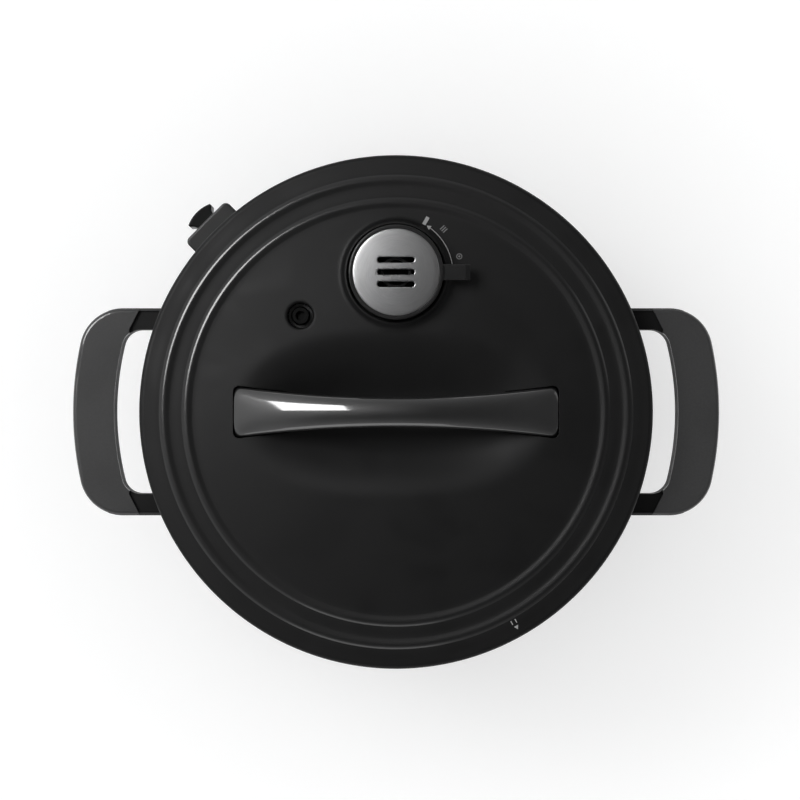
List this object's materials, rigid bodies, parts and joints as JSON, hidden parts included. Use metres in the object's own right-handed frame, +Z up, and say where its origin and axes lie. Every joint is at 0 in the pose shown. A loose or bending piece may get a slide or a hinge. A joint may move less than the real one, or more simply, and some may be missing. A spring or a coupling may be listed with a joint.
{
  "type": "electric pressure cooker",
  "caption": "Round electric pressure cooker with a domed black bayonet lid, arched lid handle, steam valve, side handles, front control panel and removable pot.",
  "frame": {"origin": "on the table under the axis of the pot and of the lid", "axes": "+Z up, +X through the right side handle as seen from the front, +Y to the back where the power inlet is"},
  "size_m": [0.384, 0.3, 0.276],
  "materials": {
    "base_plastic": "fine-grained matt black",
    "foot_rubber": "matt",
    "screw_steel": "zinc plated",
    "post_steel": "plain steel",
    "shell_steel": "brushed round the body",
    "collar_plastic": "fine-grained matt black",
    "handle_plastic": "matt black",
    "handle_gloss": "satin gloss dark grey",
    "outer_pot_sheet": "drawn sheet",
    "pot_coating": "dark non-stick coating",
    "plate_cast": "turned casting",
    "element_steel": "heat-tinted tube",
    "sensor_aluminium": "turned",
    "spring_steel": "bright wire",
    "switch_plastic": "ivory",
    "fuse_metal": "dull",
    "circuit_board": "green solder mask",
    "relay_plastic": "blue",
    "transformer_core": "varnished",
    "capacitor_can": "sleeved",
    "inlet_plastic": "matt black",
    "pin_brass": "nickel plated",
    "wire_insulation": "silicone sleeve",
    "panel_gloss": "gloss black",
    "display_glass": "smoked",
    "display_plastic": "dark",
    "button_plastic": "satin grey",
    "start_plastic": "satin light grey",
    "hood_plastic": "matt black",
    "cup_plastic": "smoked",
    "pull_plastic": "gloss black",
    "lid_steel": "pressed and polished",
    "seal_silicone": "translucent silicone",
    "rack_steel": "bright",
    "lid_plastic": "fine-grained matt black",
    "stud_brass": "turned",
    "grip_gloss": "gloss black",
    "nozzle_steel": "turned",
    "shield_steel": "pressed",
    "valve_weight": "turned",
    "knob_plastic": "satin black",
    "cap_steel": "spun, satin",
    "sleeve_plastic": "black",
    "float_metal": "dark anodised",
    "float_silicone": "red silicone"
  },
  "bodies": {
    "cooker": {"base_tray": "base_plastic", "feet": "foot_rubber", "base_screws": "screw_steel", "support_posts": "post_steel", "outer_shell": "shell_steel", "body_collar": "collar_plastic", "side_handle_left": "handle_plastic", "side_handle_right": "handle_plastic", "handle_cover_left": "handle_gloss", "handle_cover_right": "handle_gloss", "handle_screws": "screw_steel", "outer_pot": "outer_pot_sheet", "inner_pot": "pot_coating", "heating_plate": "plate_cast", "heating_element": "element_steel", "sensor_bracket": "post_steel", "pressure_switch": "switch_plastic", "thermal_fuse": "fuse_metal", "power_board": "circuit_board", "relay": "relay_plastic", "transformer": "transformer_core", "capacitor": "capacitor_can", "inlet_housing": "inlet_plastic", "inlet_pins": "pin_brass", "wiring": "wire_insulation", "control_fascia": "panel_gloss", "display_window": "display_glass", "display_module": "display_plastic", "control_board": "circuit_board", "board_screws": "screw_steel", "tact_switches": "relay_plastic", "drain_hood": "hood_plastic"},
    "sealing_ring": {"sealing_ring": "seal_silicone"},
    "lid": {"lid_plate": "lid_steel", "seal_rack": "rack_steel", "lid_cover": "lid_plastic", "lid_studs": "stud_brass", "lid_handle": "grip_gloss", "lid_handle_screws": "screw_steel", "steam_nozzle": "nozzle_steel", "nozzle_nut": "stud_brass", "steam_shield": "shield_steel", "float_sleeve": "sleeve_plastic"},
    "float_valve": {"float_pin": "float_metal", "float_seal": "float_silicone"},
    "valve_weight": {"valve_core": "valve_weight"},
    "steam_valve": {"valve_knob": "knob_plastic", "valve_cap": "cap_steel"},
    "condensate_cup": {"condensate_cup": "cup_plastic", "cup_pull": "pull_plastic"},
    "temperature_sensor": {"sensor_cap": "sensor_aluminium", "sensor_spring": "spring_steel"},
    "button_left_1": {"button_left_1": "button_plastic"},
    "button_right_1": {"button_right_1": "button_plastic"},
    "button_left_2": {"button_left_2": "button_plastic"},
    "button_right_2": {"button_right_2": "button_plastic"},
    "button_left_3": {"button_left_3": "button_plastic"},
    "button_right_3": {"button_right_3": "button_plastic"},
    "button_cancel": {"button_cancel": "start_plastic"},
    "button_start": {"button_start": "start_plastic"}
  },
  "joints": [
    {"name": "lid_lift", "type": "slide", "parent": "cooker", "child": "sealing_ring", "axis": [0, 0, 1], "range_m": [0, 0.15]},
    {"name": "lid_turn", "type": "hinge", "parent": "sealing_ring", "child": "lid", "pos_m": [0, 0, 0.2295], "axis": [0, 0, 1], "range_deg": [-30, 0]},
    {"name": "valve_lift", "type": "slide", "parent": "lid", "child": "valve_weight", "axis": [0, 0, 1], "range_m": [0, 0.03]},
    {"name": "valve_turn", "type": "hinge", "parent": "valve_weight", "child": "steam_valve", "pos_m": [0, 0.0805, 0.26], "axis": [0, 0, 1], "range_deg": [0, 60]},
    {"name": "float_rise", "type": "slide", "parent": "lid", "child": "float_valve", "axis": [0, 0, 1], "range_m": [0, 0.006]},
    {"name": "cup_slide", "type": "slide", "parent": "cooker", "child": "condensate_cup", "axis": [-0.7071, 0.7071, 0], "range_m": [0, 0.026]},
    {"name": "sensor_press", "type": "slide", "parent": "cooker", "child": "temperature_sensor", "axis": [0, 0, -1], "range_m": [0, 0.002], "stiffness_N_per_m": 600, "springref_m": -0.001, "deforming": ["sensor_spring"]},
    {"name": "button_left_1_press", "type": "slide", "parent": "cooker", "child": "button_left_1", "axis": [0.2923, 0.9563, 0], "range_m": [0, 0.001], "stiffness_N_per_m": 300},
    {"name": "button_right_1_press", "type": "slide", "parent": "cooker", "child": "button_right_1", "axis": [-0.2923, 0.9563, 0], "range_m": [0, 0.001], "stiffness_N_per_m": 300},
    {"name": "button_left_2_press", "type": "slide", "parent": "cooker", "child": "button_left_2", "axis": [0.2923, 0.9563, 0], "range_m": [0, 0.001], "stiffness_N_per_m": 300},
    {"name": "button_right_2_press", "type": "slide", "parent": "cooker", "child": "button_right_2", "axis": [-0.2923, 0.9563, 0], "range_m": [0, 0.001], "stiffness_N_per_m": 300},
    {"name": "button_left_3_press", "type": "slide", "parent": "cooker", "child": "button_left_3", "axis": [0.2923, 0.9563, 0], "range_m": [0, 0.001], "stiffness_N_per_m": 300},
    {"name": "button_right_3_press", "type": "slide", "parent": "cooker", "child": "button_right_3", "axis": [-0.2923, 0.9563, 0], "range_m": [0, 0.001], "stiffness_N_per_m": 300},
    {"name": "button_cancel_press", "type": "slide", "parent": "cooker", "child": "button_cancel", "axis": [0.1306, 0.9914, 0], "range_m": [0, 0.001], "stiffness_N_per_m": 300},
    {"name": "button_start_press", "type": "slide", "parent": "cooker", "child": "button_start", "axis": [-0.1306, 0.9914, 0], "range_m": [0, 0.001], "stiffness_N_per_m": 300}
  ]
}
